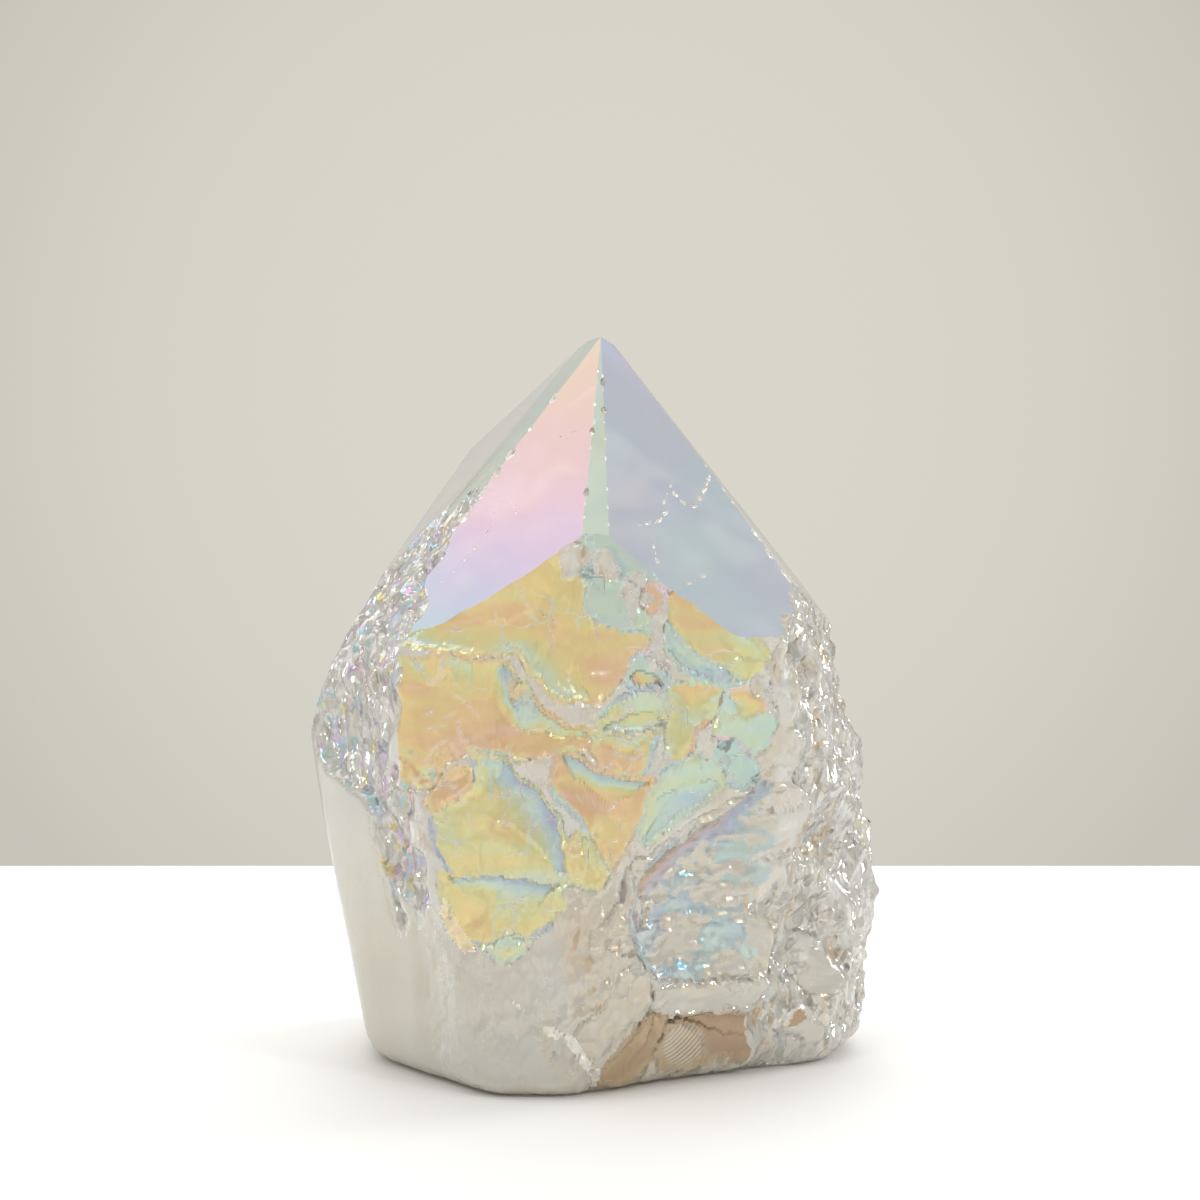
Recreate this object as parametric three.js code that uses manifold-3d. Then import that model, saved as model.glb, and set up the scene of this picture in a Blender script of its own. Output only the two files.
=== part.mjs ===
// Aura quartz point: one rough quartz crystal, sawn flat underneath, with a ground and polished tip.
// Millimetres. +Z is up, -Y is the front, and the origin is on the sawn base, straight under the tip.
// Directions round the stone are "turns": degrees to the right of the front.

import * as THREE from "three";
import { mergeVertices } from "three/addons/utils/BufferGeometryUtils.js";
import Module from "manifold-3d";

// Driving dimensions of the stone.
const HEIGHT = 100; // sawn base to tip
const FACE_SLOPE = 51.8; // quartz's own end-face angle, from level
const MID_HEIGHT = 40; // where the reach of each rough side is given
const BASE_WEAR = 4; // radius of the worn edge round the sawn base
const CORNER_SHARPNESS = 40; // how tightly two rough sides meet: higher is sharper

// The facets that the rough stone is drawn with, before its tip is ground.
const COLUMNS = 120;
const ROW_HEIGHT = 2.05;
const BASE_ROWS = [0, 0.3, 1.2, 2.5];
const ROUGH_TOP = 80; // the tip's faces have cut the whole stone by this height
const BLANK_TOP = HEIGHT + 6;

// The ground and polished faces of the tip. standoff is how far a face lies outside the tip point.
const POLISHED_FACES = [
  { turn: -32, slope: FACE_SLOPE, standoff: 0 }, // left front
  { turn: 28, slope: FACE_SLOPE, standoff: 0 }, // right front
  { turn: 80, slope: 50.5, standoff: 1.2 }, // right, a sliver low on the right front edge
  { turn: 93, slope: 52.3, standoff: 0.7 }, // right
  { turn: 148, slope: FACE_SLOPE, standoff: 0 }, // right back
  { turn: -152, slope: 48.1, standoff: 1.4 }, // left back
  { turn: -110, slope: 66.2, standoff: 11.9 }, // left, steep, under its neighbours
  { turn: -78, slope: 48.2, standoff: 0.7 }, // left
  { turn: -62, slope: 47.7, standoff: 0 }, // narrow bevel on the left edge
  { turn: -2, slope: 49.1, standoff: 0 }, // narrow bevel on the front edge
];

// The rough sides. reach is the distance from the upright axis at mid height, and flare is how
// much further out the side lies for each millimetre further up.
const ROUGH_SIDES = [
  { turn: -6, reach: 26.2, flare: -0.1 }, // broad front
  { turn: 28, reach: 28.8, flare: 0.12 }, // right front, overhanging
  { turn: 56, reach: 35.2, flare: 0.03 },
  { turn: 84, reach: 46.4, flare: 0.26 }, // right, below the bulge
  { turn: 79, reach: 37.8, flare: -0.24 }, // right, above the bulge
  { turn: -52, reach: 34.2, flare: 0.09 }, // left front, below
  { turn: -58, reach: 48.4, flare: -0.7 }, // left front, where the corner under the tip broke away
  { turn: -88, reach: 40.2, flare: 0.19 }, // left, below the shoulder
  { turn: -82, reach: 49, flare: -0.55 }, // left, above the shoulder
  { turn: -122, reach: 34.5, flare: -0.02 },
  { turn: -168, reach: 28.8, flare: -0.07 }, // back
  { turn: 157, reach: 29.6, flare: 0.03 },
  { turn: 121, reach: 35.4, flare: -0.06 },
];

// Scars on the front where flakes broke away: shallow bowls, centred x across and z up, that width
// and depth, each facing a turn and tipped up by tip degrees.
const FRONT_SCARS = [
  { x: -4, z: 65, wide: 22, deep: 1.5, turn: -4, tip: 8 }, // top, under the left polished face
  { x: -20, z: 59, wide: 17, deep: 1.2, turn: -16, tip: 8 },
  { x: -17, z: 51, wide: 23, deep: 1.6, turn: -8, tip: 2 },
  { x: -25, z: 41, wide: 16, deep: 1.2, turn: -22, tip: 0 },
  { x: -13.5, z: 34, wide: 27, deep: 2.8, turn: 2, tip: -4 }, // the broad hollow low on the left
  { x: -15, z: 22, wide: 19, deep: 1.8, turn: -4, tip: 5 },
  { x: 1, z: 38, wide: 16, deep: 2.2, turn: 4, tip: -8 },
  { x: -2, z: 29, wide: 11, deep: 1.7, turn: 6, tip: 0 },
  { x: 2, z: 55, wide: 15, deep: 1.6, turn: 6, tip: -6 },
  { x: 2, z: 69, wide: 10, deep: 1.4, turn: 6, tip: 0 },
  { x: 8, z: 67, wide: 9, deep: 1.7, turn: 16, tip: 0 },
  { x: 15, z: 62, wide: 16, deep: 1.8, turn: 12, tip: 8 },
  { x: 8, z: 53, wide: 10, deep: 1.9, turn: -2, tip: -14 },
  { x: 15, z: 50, wide: 18, deep: 1.7, turn: 16, tip: 2 },
  { x: 18.5, z: 45, wide: 7, deep: 1.7, turn: 10, tip: 0 },
  { x: 17, z: 29, wide: 25, deep: 4.4, turn: 8, tip: -8 }, // the window low on the right
  { x: 23, z: 36, wide: 14, deep: 2.6, turn: 18, tip: -6 },
  { x: 9, z: 24, wide: 14, deep: 2.1, turn: -6, tip: -8 },
  { x: 20, z: 19, wide: 15, deep: 2, turn: 16, tip: 4 },
  { x: 13, z: 6, wide: 15, deep: 2.8, turn: 8, tip: -12 }, // the notch over the base
  { x: 2, z: 7, wide: 15, deep: 1.5, turn: 18, tip: -6 },
  { x: 25, z: 7, wide: 13, deep: 1.6, turn: 26, tip: -6 },
  { x: -7, z: 14, wide: 26, deep: 1.3, turn: -4, tip: 0 }, // smooth and low, over the front corner
  { x: -26, z: 12, wide: 24, deep: 1.4, turn: -50, tip: -4 }, // smooth, left of the corner
];

// Scars spread by rule over the sides that aren't the front, between two turns.
const SIDE_SCARS = { count: 74, from: 54, to: 260, low: 3, high: 74, seed: 7 };
const SIDE_SCAR_WIDE = [9, 22];
const SIDE_SCAR_DEEP = [0.8, 2.6];
const SCAR_LEAN = 24; // how far off the stone's own side such a scar may face, in degrees
const GOLDEN = 0.618;

// Swells all over, and broken shards, which stand highest where the stone is roughest. A rough zone
// lies about a turn, half its width to each side, and reaches up from its foot.
const SWELL = { size: 17, height: 1.6, seed: 11 };
const SHARDS = { size: 5.6, height: 2, seed: 21 };
const ROUGH_ZONES = [
  { turn: -86, half: 32, foot: 24, level: 1 }, // left, above
  { turn: 80, half: 38, foot: 4, level: 1 }, // right
  { turn: 180, half: 66, foot: -10, level: 0.4 }, // back
];
const LEAST_ROUGH = 0.1;
const ZONE_FADE = { turn: 12, rise: 10 };

const { sin, cos, min, max, floor, sqrt } = Math;
const { degToRad, radToDeg, lerp, smoothstep, euclideanModulo } = THREE.MathUtils;

// A repeatable number from 0 to 1 for three whole numbers and a seed.
function scatter(i, j, k, seed) {
  const s = sin(i * 127.1 + j * 311.7 + k * 74.7 + seed * 53.3) * 43758.5453;
  return s - floor(s);
}

// Unit vector that faces a turn, tipped up from level by lift degrees.
function towards(turn, lift = 0) {
  const [t, l] = [degToRad(turn), degToRad(lift)];
  return new THREE.Vector3(sin(t) * cos(l), -cos(t) * cos(l), sin(l));
}

// Smooth noise from 0 to 1 that swells over that size.
function swell(point, size, seed) {
  const q = point.clone().divideScalar(size);
  const cell = q.clone().floor();
  const part = q.clone().sub(cell);
  const [u, v, w] = part.toArray().map((t) => t * t * (3 - 2 * t));
  const corner = (a, b, c) => scatter(cell.x + a, cell.y + b, cell.z + c, seed);
  const edge = (b, c) => lerp(corner(0, b, c), corner(1, b, c), u);
  return lerp(lerp(edge(0, 0), edge(1, 0), v), lerp(edge(0, 1), edge(1, 1), v), w);
}

// Noise of about 0 to 1 made of tilted flats: each point of a jittered grid owns the space nearest it.
function shards(point, size, seed) {
  const q = point.clone().divideScalar(size);
  const cell = q.clone().floor();
  let nearest = Infinity;
  let height = 0;
  for (let a = cell.x - 1; a <= cell.x + 1; a++)
    for (let b = cell.y - 1; b <= cell.y + 1; b++)
      for (let c = cell.z - 1; c <= cell.z + 1; c++) {
        const random = (n) => scatter(a, b, c, seed + n);
        const away = new THREE.Vector3(q.x - a - random(0), q.y - b - random(1), q.z - c - random(2));
        if (away.lengthSq() >= nearest) continue;
        nearest = away.lengthSq();
        const slope = new THREE.Vector3(random(3), random(4), random(5)).subScalar(0.5);
        height = 0.25 + 0.5 * random(6) + away.dot(slope);
      }
  return height;
}

// Distance from the axis to the unbroken blank, at a turn and height. Its sides meet in tight curves.
const LEAST_FACING = 0.05; // a side turned further away than this takes no part
function blankReach(turn, z) {
  let sum = 0;
  for (const side of ROUGH_SIDES) {
    const facing = cos(degToRad(turn - side.turn));
    const reach = side.reach + side.flare * (z - MID_HEIGHT);
    if (facing > LEAST_FACING) sum += (reach / facing) ** -CORNER_SHARPNESS;
  }
  return sum ** (-1 / CORNER_SHARPNESS);
}

function blankPoint(turn, z) {
  return towards(turn).multiplyScalar(blankReach(turn, z)).setZ(z);
}

// The turn at which the blank's front lies x across, at height z.
function turnAcross(x, z) {
  let turn = 0;
  for (let step = 0; step < 20; step++) turn = radToDeg(Math.atan2(x, -blankPoint(turn, z).y));
  return turn;
}

// The ball that cuts a scar of that width and depth into the blank.
function scarBall(turn, z, wide, deep, face) {
  const ball = (wide * wide) / (8 * deep) + deep / 2;
  return { centre: blankPoint(turn, z).addScaledVector(face, ball - deep), ball };
}

function frontScar({ x, z, wide, deep, turn, tip }) {
  return scarBall(turnAcross(x, z), z, wide, deep, towards(turn, tip));
}

function sideScar(_, n) {
  const random = (k) => scatter(n, k, 0, SIDE_SCARS.seed);
  const turn = lerp(SIDE_SCARS.from, SIDE_SCARS.to, (n * GOLDEN) % 1);
  const z = lerp(SIDE_SCARS.low, SIDE_SCARS.high, random(1));
  const wide = lerp(...SIDE_SCAR_WIDE, random(2));
  const deep = lerp(...SIDE_SCAR_DEEP, random(2) * random(3));
  const face = towards(turn + SCAR_LEAN * (random(4) - 0.5), SCAR_LEAN * (random(5) - 0.5));
  return scarBall(turn, z, wide, deep, face);
}

const scars = [...FRONT_SCARS.map(frontScar), ...Array.from({ length: SIDE_SCARS.count }, sideScar)];

// How rough the stone is, up to 1.
function roughness(turn, z) {
  const levels = ROUGH_ZONES.map((zone) => {
    const off = Math.abs(euclideanModulo(turn - zone.turn + 180, 360) - 180);
    const within = smoothstep(zone.half - off, 0, ZONE_FADE.turn);
    return zone.level * within * smoothstep(z - zone.foot, 0, ZONE_FADE.rise);
  });
  return max(LEAST_ROUGH, ...levels);
}

// A point of the rough stone at a turn and height. A scar takes the stone back to where the level
// line out from the axis enters its ball.
function stonePoint(turn, z) {
  const out = towards(turn);
  const at = blankPoint(turn, z);
  let reach = blankReach(turn, z) - SWELL.height * swell(at, SWELL.size, SWELL.seed);
  for (const { centre, ball } of scars) {
    const along = centre.dot(out);
    const aside = centre.x ** 2 + centre.y ** 2 - along ** 2 + (z - centre.z) ** 2;
    if (along > 0 && aside < ball * ball) reach = min(reach, along - sqrt(ball * ball - aside));
  }
  reach -= SHARDS.height * roughness(turn, z) * shards(at, SHARDS.size, SHARDS.seed);
  if (z < BASE_WEAR) reach -= BASE_WEAR - sqrt(BASE_WEAR ** 2 - (BASE_WEAR - z) ** 2);
  return out.multiplyScalar(reach).setZ(z);
}

// The two triangles of a four-cornered patch, split along the diagonal that folds least.
function patch(points, a, b, c, d) {
  const normal = (i, j, k) => {
    const ij = points[j].clone().sub(points[i]);
    return ij.cross(points[k].clone().sub(points[i])).normalize();
  };
  const folds = [normal(a, b, c).dot(normal(a, c, d)), normal(a, b, d).dot(normal(b, c, d))];
  return folds[0] > folds[1] ? [a, b, c, a, c, d] : [a, b, d, b, c, d];
}

// The rough stone as rows of patches round the axis, closed above and below.
function roughStone() {
  const heights = [...BASE_ROWS];
  for (let z = BASE_WEAR; z < ROUGH_TOP; z += ROW_HEIGHT) heights.push(z);
  heights.push(BLANK_TOP);
  const points = heights.flatMap((z) =>
    Array.from({ length: COLUMNS }, (_, column) => stonePoint((360 * column) / COLUMNS, z)),
  );
  const bottom = points.push(new THREE.Vector3(0, 0, 0)) - 1;
  const top = points.push(new THREE.Vector3(0, 0, BLANK_TOP)) - 1;
  const at = (row, column) => row * COLUMNS + (column % COLUMNS);
  const last = heights.length - 1;
  const faces = [];
  for (let c = 0; c < COLUMNS; c++) {
    faces.push(bottom, at(0, c + 1), at(0, c), top, at(last, c), at(last, c + 1));
    for (let r = 0; r < last; r++)
      faces.push(...patch(points, at(r, c), at(r, c + 1), at(r + 1, c + 1), at(r + 1, c)));
  }
  return new THREE.BufferGeometry().setFromPoints(points).setIndex(faces);
}

// A manifold-3d solid from a closed three.js geometry.
const wasm = await Module();
wasm.setup();
function solid(geometry) {
  const bare = new THREE.BufferGeometry().setIndex(geometry.index);
  bare.setAttribute("position", geometry.getAttribute("position"));
  const merged = mergeVertices(bare, 1e-4);
  return new wasm.Manifold(
    new wasm.Mesh({
      numProp: 3,
      vertProperties: merged.attributes.position.array,
      triVerts: new Uint32Array(merged.index.array),
    }),
  );
}

// The block of air outside a polished face. Taking it away grinds the face.
function groundAway({ turn, slope, standoff }) {
  const side = 4 * HEIGHT;
  const normal = towards(turn, 90 - slope);
  const upright = new THREE.Vector3(0, 0, 1);
  const block = new THREE.BoxGeometry(side, side, side).translate(0, 0, side / 2 + standoff);
  block.applyQuaternion(new THREE.Quaternion().setFromUnitVectors(upright, normal));
  return solid(block.translate(0, 0, HEIGHT));
}

function quartzPoint() {
  let stone = solid(roughStone());
  for (const face of POLISHED_FACES) stone = stone.subtract(groundAway(face));
  const mesh = stone.getMesh();
  const geometry = new THREE.BufferGeometry();
  geometry.setAttribute("position", new THREE.BufferAttribute(new Float32Array(mesh.vertProperties), 3));
  geometry.setIndex(new THREE.BufferAttribute(new Uint32Array(mesh.triVerts), 1));
  geometry.computeVertexNormals();
  return geometry;
}

const auraQuartz = new THREE.MeshStandardMaterial({
  name: "aura_quartz",
  color: 0xd9d8cf,
  roughness: 0.2,
  metalness: 0,
  transparent: true,
  opacity: 0.6,
});

const crystal = new THREE.Mesh(quartzPoint(), auraQuartz);
crystal.name = "quartz_point";

const part = new THREE.Group();
part.add(crystal);
export default part;
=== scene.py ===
import math
from functools import partial

import bpy
import numpy as np
from mathutils import Matrix, Vector


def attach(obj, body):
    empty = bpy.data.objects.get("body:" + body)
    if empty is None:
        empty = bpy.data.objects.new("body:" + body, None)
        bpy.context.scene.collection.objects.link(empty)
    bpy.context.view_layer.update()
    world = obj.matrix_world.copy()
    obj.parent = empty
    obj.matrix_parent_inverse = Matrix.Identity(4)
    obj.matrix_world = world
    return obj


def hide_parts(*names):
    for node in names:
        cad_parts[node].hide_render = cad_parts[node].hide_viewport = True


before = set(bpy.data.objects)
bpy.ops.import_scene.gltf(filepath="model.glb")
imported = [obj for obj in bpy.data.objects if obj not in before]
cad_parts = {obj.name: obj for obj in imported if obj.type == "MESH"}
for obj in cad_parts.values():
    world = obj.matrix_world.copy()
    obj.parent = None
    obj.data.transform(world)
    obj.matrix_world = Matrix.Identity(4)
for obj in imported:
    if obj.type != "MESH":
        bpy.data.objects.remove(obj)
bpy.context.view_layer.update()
MM = 0.001


# ---- Camera ----
# A long lens a little above the stone, looking level with the middle of it from the front.

CAMERA_PITCH = math.radians(9)
CAMERA_DISTANCE = 611.8 * MM
CAMERA_TARGET = Vector((-0.14 * MM, 0, 63.6 * MM))
LENS, SENSOR = 133.1, 36
camera = bpy.data.objects.new("camera", bpy.data.cameras.new("camera"))
camera.data.sensor_width = SENSOR
camera.data.lens = LENS
camera.data.clip_start, camera.data.clip_end = 0.01, 20
toward_camera = Vector((0, -math.cos(CAMERA_PITCH), math.sin(CAMERA_PITCH)))
camera.location = CAMERA_TARGET + toward_camera * CAMERA_DISTANCE
camera.rotation_euler = (math.pi / 2 - CAMERA_PITCH, 0, 0)
bpy.context.collection.objects.link(camera)
bpy.context.scene.camera = camera


# ---- The rough stone ----
# Quartz broken off its bed: flat-sided, scarred where flakes left it, frosted along the crests between,
# splintery at the sides and sawn flat underneath. It is worked out in millimetres, as a distance from the
# upright axis at each turn (degrees to the right of the front) and height.

HEIGHT = 100
MID_HEIGHT = 40
BASE_WEAR = 4
CORNER_SHARPNESS = 40

# (turn, reach from the axis at mid height, how much further out for each millimetre further up)
ROUGH_SIDES = [
    (-6, 26.2, -0.1),
    (28, 28.8, 0.12),
    (56, 35.2, 0.03),
    (84, 46.4, 0.26),
    (79, 37.8, -0.24),
    (-52, 34.2, 0.09),
    (-58, 48.4, -0.7),
    (-88, 40.2, 0.19),
    (-82, 49, -0.55),
    (-122, 34.5, -0.02),
    (-168, 28.8, -0.07),
    (157, 29.6, 0.03),
    (121, 35.4, -0.06),
]


def facing(turn, tip=0):
    """The direction at this turn, tipped up by this much."""
    t, u = np.broadcast_arrays(np.radians(turn), np.radians(tip))
    return np.stack([np.sin(t) * np.cos(u), -np.cos(t) * np.cos(u), np.sin(u)], -1)


def scatter(i, j, k, seed):
    """A fixed number from 0 to 1 for each cell."""
    s = np.sin(i * 127.1 + j * 311.7 + k * 74.7 + seed * 53.3) * 43758.5453
    return s - np.floor(s)


def smoothstep(x, low, high):
    t = np.clip((x - low) / (high - low), 0, 1)
    return t * t * (3 - 2 * t)


def swell(points, size, seed):
    """Smooth noise from 0 to 1, in lumps of this size."""
    q = points / size
    cell = np.floor(q)
    part = q - cell
    u, v, w = (part * part * (3 - 2 * part)).T
    i, j, k = cell.T
    total = 0
    for a in (0, 1):
        for b in (0, 1):
            for c in (0, 1):
                share = (u if a else 1 - u) * (v if b else 1 - v) * (w if c else 1 - w)
                total = total + scatter(i + a, j + b, k + c, seed) * share
    return total


def chips(points, size, seed):
    """Small bowls with sharp ridges between them: the depth, about 0 to 1, and each one's own number."""
    q = points / size
    cell = np.floor(q)
    depth = np.full(len(q), -np.inf)
    which = np.zeros(len(q))
    for a in (-1, 0, 1):
        for b in (-1, 0, 1):
            for c in (-1, 0, 1):
                i, j, k = (cell + (a, b, c)).T
                random = lambda n: scatter(i, j, k, seed + n)
                away = q - np.stack([i + random(0), j + random(1), k + random(2)], 1)
                slope = np.stack([random(3), random(4), random(5)], 1) - 0.5
                here = 0.3 + 0.55 * random(6) + (away * slope).sum(1) - 0.8 * (away**2).sum(1)
                deeper = here > depth
                depth = np.where(deeper, here, depth)
                which = np.where(deeper, random(7), which)
    return depth, which


def blank_reach(turn, z):
    """How far the plain many-sided blank reaches from the axis."""
    total = 0
    for side_turn, reach, flare in ROUGH_SIDES:
        cosine = np.cos(np.radians(turn - side_turn))
        distance = (reach + flare * (z - MID_HEIGHT)) / np.maximum(cosine, 0.05)
        total = total + np.where(cosine > 0.05, distance**-CORNER_SHARPNESS, 0)
    return total ** (-1 / CORNER_SHARPNESS)


def blank_point(turn, z):
    point = facing(turn) * np.asarray(blank_reach(turn, z))[..., None]
    point[..., 2] = z
    return point


# What flaked off the front. Each flake left a shallow hollow: its depth, the side its steep rim is on
# (degrees, 90 is the top) and the rim's width, the film on its floor, the film by its rim and how much
# the film varies, and its outline (x across, z up).
FLAKES = {
    "under_left_face": ((1.1, -125, 0.8, 203, 178, 20), [
        (-27, 62), (-23, 65.5), (-19.3, 68.5), (-14, 68), (-10.8, 70.5), (-8.1, 73), (-3.2, 74),
        (-2.5, 65.5), (0, 63.8), (6, 61.9), (4.6, 59.5), (1.5, 56.3), (-1.5, 53.5), (-4.1, 53.5),
        (-6.4, 54.7), (-9.2, 58), (-11.3, 60.6), (-14.1, 60.3), (-17.5, 59.5), (-20.8, 60.1)]),
    "under_front_edge": ((0.9, 120, 0.7, 172, 164, 20), [
        (-2.5, 70.5), (0.4, 70.2), (4.2, 68.7), (4.8, 65.5), (6.1, 62.6), (3.2, 63.2), (0.4, 63.6),
        (-2, 65.2)]),
    "under_bevel": ((0.5, 90, 0.5, 168, 160, 16), [
        (-2.4, 74.6), (0.4, 76.4), (3.6, 74.6), (7.6, 71.4), (4.4, 69.6), (0.6, 71.2), (-2, 71.6)]),
    "chip": ((0.9, 180, 0.5, 211, 240, 20), [
        (5.2, 68.7), (7.2, 69.2), (8.4, 68.3), (8, 66.4), (6.1, 65.3), (5, 66.4)]),
    "under_right_face": ((0.9, 60, 0.8, 198, 184, 20), [
        (9.3, 67.5), (11.8, 69.5), (14, 68.5), (17.4, 65), (20.1, 62), (22.6, 58.4), (19.8, 56.2),
        (17.5, 57.7), (14.8, 60), (11.8, 62), (10, 64)]),
    "beside_stripe": ((0.9, -135, 0.7, 168, 158, 20), [
        (9.4, 63.6), (11.8, 61.3), (14.7, 59.3), (17.3, 57.3), (14.7, 56.8), (11.8, 58.3),
        (9.2, 60.7)]),
    "small_pit": ((1.3, -90, 0.35, 162, 235, 20), [
        (3.7, 58.7), (5.2, 59.9), (7.2, 59.1), (9.3, 57.8), (8.6, 55.7), (5.2, 55.6), (3.6, 56.6)]),
    "left": ((1.2, 35, 0.9, 206, 166, 18), [
        (-26.4, 58.7), (-23.5, 58.5), (-20.4, 59.3), (-16.8, 58.4), (-13.5, 58.7), (-11.9, 57.2),
        (-10.5, 54.8), (-8.1, 52.2), (-5.2, 50.2), (-2.3, 49.5), (-0.9, 48.3), (-3.5, 47.2), (-6, 47.3),
        (-9.5, 46.4), (-12.8, 46.1), (-15.1, 46.7), (-17.5, 46.9), (-21.5, 45.9), (-22.5, 44.4),
        (-21.9, 42.1), (-24.9, 41.8), (-28.3, 42.4), (-29.4, 45.3), (-28.8, 50), (-27.6, 54.7)]),
    "slip": ((0.5, 180, 0.4, 198, 186, 20), [
        (-13.3, 58), (-11.9, 56.9), (-10.3, 55), (-8.5, 51.7), (-9.5, 48.7), (-11.1, 47.6),
        (-13.6, 48.6), (-13.7, 53.6)]),
    "hollow": ((1.9, 35, 1.3, 189, 142, 20), [
        (-16.6, 45.6), (-13.9, 45.4), (-11.1, 43.4), (-7.7, 40.6), (-6, 38.1), (-5.3, 34.1),
        (-4.3, 30.9), (-5.2, 29.3), (-7.1, 30), (-9.8, 29.8), (-12.8, 30.4), (-16.2, 30.1),
        (-19.5, 30.6), (-21.7, 34.1), (-21.9, 37.7), (-20.5, 39.4), (-17.4, 42)]),
    "beside_hollow": ((0.6, 90, 0.6, 207, 210, 12), [
        (-22.1, 42), (-19.5, 44.5), (-17.4, 44.4), (-17, 42.4), (-19.9, 40.2), (-21.8, 38.5),
        (-22.9, 40.1)]),
    "lower_hollow": ((1.3, 90, 0.8, 195, 150, 16), [
        (-20.9, 30), (-16.9, 29.6), (-12.4, 29.8), (-9.4, 29.3), (-6, 28.7), (-5.5, 26.3), (-6.7, 23.8),
        (-9.6, 22.5), (-12.4, 22.8), (-15.5, 20.8), (-17.8, 21.3), (-20.3, 26.1)]),
    "toe": ((0.6, 90, 0.6, 184, 170, 20), [
        (-15.7, 20.2), (-12.8, 22), (-9.8, 22), (-10.7, 20.3), (-13.5, 18.9)]),
    "tongue": ((1.7, 80, 0.9, 205, 142, 16), [
        (-5.6, 46.5), (-2.4, 45.3), (0, 44.2), (3.6, 43.3), (6.6, 42.6), (6.4, 40.7), (4.7, 37.8),
        (2.8, 34.3), (1.1, 31.6), (-0.1, 33.9), (-2.3, 36.8), (-4.1, 39.4), (-6, 42.5)]),
    "tongue_root": ((1, 60, 0.8, 198, 182, 20), [
        (-5.1, 33.8), (-3.2, 35.6), (-1.3, 35.1), (-0.1, 32.9), (0.4, 30.5), (-0.7, 28.6), (-2.4, 29.4),
        (-3.9, 29.6)]),
    "step_upper": ((1.1, -90, 0.35, 186, 160, 20), [
        (-0.5, 51.4), (2.5, 53.9), (6.1, 55.1), (8.8, 54.4), (9.1, 50.8), (5.8, 50.3), (1.9, 49.9),
        (0, 50)]),
    "step_lower": ((1, 135, 0.6, 203, 165, 20), [
        (-1.2, 49.5), (2.5, 49.3), (7, 49.6), (6.6, 47.4), (5.1, 44.3), (1.9, 45), (-1, 47)]),
    "right_upper": ((0.9, 110, 1.2, 186, 215, 20), [
        (9.6, 55.4), (12.5, 56.6), (16.1, 55.7), (15.1, 52.5), (11.8, 49.5), (10.2, 45.9), (8.9, 46.4),
        (9, 51.4)]),
    "right_outer": ((0.9, 60, 1.2, 176, 236, 20), [
        (16.7, 55.6), (20.8, 55), (23.3, 51.7), (22.4, 47.1), (20.6, 45.9), (18.3, 48.3), (15.4, 48.8),
        (15.5, 52)]),
    "green_pit": ((1.8, 120, 0.5, 166, 156, 20), [
        (15.8, 47.5), (18, 48.1), (20.3, 45.2), (20.8, 43.2), (19, 42.2), (17, 42.5), (15.6, 45.1)]),
    "right_lower": ((1.1, -60, 1, 176, 162, 20), [
        (8.2, 43.7), (11.8, 46.2), (15.3, 44.4), (16.2, 42.1), (13.2, 40), (9.8, 37.7), (6.5, 35.1),
        (5.2, 35.4), (6.5, 39.4)]),
    # the window's brown rim film (104) is a painted shadow under its lip
    "window": ((4, 128, 1.3, 156, 104, 6), [
        (6.2, 30), (8.4, 32.3), (10.5, 33.6), (13.2, 35.2), (16.2, 36.8), (18.4, 38.4), (20, 40.2),
        (21.9, 41.2), (26.5, 39.4), (29, 34.9), (29.4, 29.3), (28.6, 24.8), (28.8, 19.8), (25.9, 16.6),
        (21.1, 14.8), (16.1, 14.6), (10.6, 15.4), (6.6, 18), (4.6, 22.8), (5, 27)]),
    "pale_band": ((0.7, -90, 0.5, 72, 70, 8), [
        (7.5, 11), (8.2, 13.8), (12, 14.3), (17, 14), (22, 13.4), (26, 12.6), (23.4, 10), (16, 10.6)]),
    # the brown films of the foot's hollows (about 100) are painted shade for the dark seen through the
    # stone here
    "foot_slant": ((1.2, 150, 1, 102, 99, 5), [
        (-0.8, 1), (1.4, 4.4), (4.6, 8), (7.4, 10.8), (9.2, 10.2), (8, 7), (5.8, 3.6), (4.2, 0.6)]),
    "foot_recess": ((1.6, 90, 0.6, 102, 99, 5), [
        (9.6, 10.2), (14.1, 9.9), (18.9, 9.2), (22.8, 9), (24.2, 5.8), (23.6, 2.6), (20, 2.8), (16, 4),
        (13.8, 6.4), (11, 9.4)]),
    "foot_corner": ((1.2, 90, 0.5, 103, 100, 6), [
        (24, 9.4), (26.4, 9.4), (28.6, 7), (28, 3), (25.6, 2.6), (24.6, 6.2)]),
    "foot_ribs": ((0.8, 45, 0.8, 98, 96, 6), [
        (8.8, 9), (10.8, 9), (13.6, 6.2), (15, 3.8), (12.4, 1.6), (8.6, 2), (7.6, 5)]),
    "foot_crumbs": ((0.7, 135, 0.8, 80, 76, 10), [
        (-1, 6), (3.4, 10.4), (7, 13), (5.6, 17.6), (3.4, 17), (0.6, 12.4), (-3.2, 8.2)]),
    "shoulder": ((0.7, 90, 0.8, 76, 72, 6), [
        (24.6, 61.8), (27.4, 61.5), (28.6, 57.3), (26, 54.2), (23.7, 54.5), (23.3, 58.9)]),
}
CREST_FILM, CREST_FROST = 66, 0.9
# The splinters of the crests fan out from here (x, z), below and to the left
FAN_CENTRE, FAN_REACH = (-30, -20), 45
# How far the hollows reach past these outlines, so that narrow crests are left between them
SPREAD = 0.8
FAR_SIDE_WIDTH = 2.4


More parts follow.
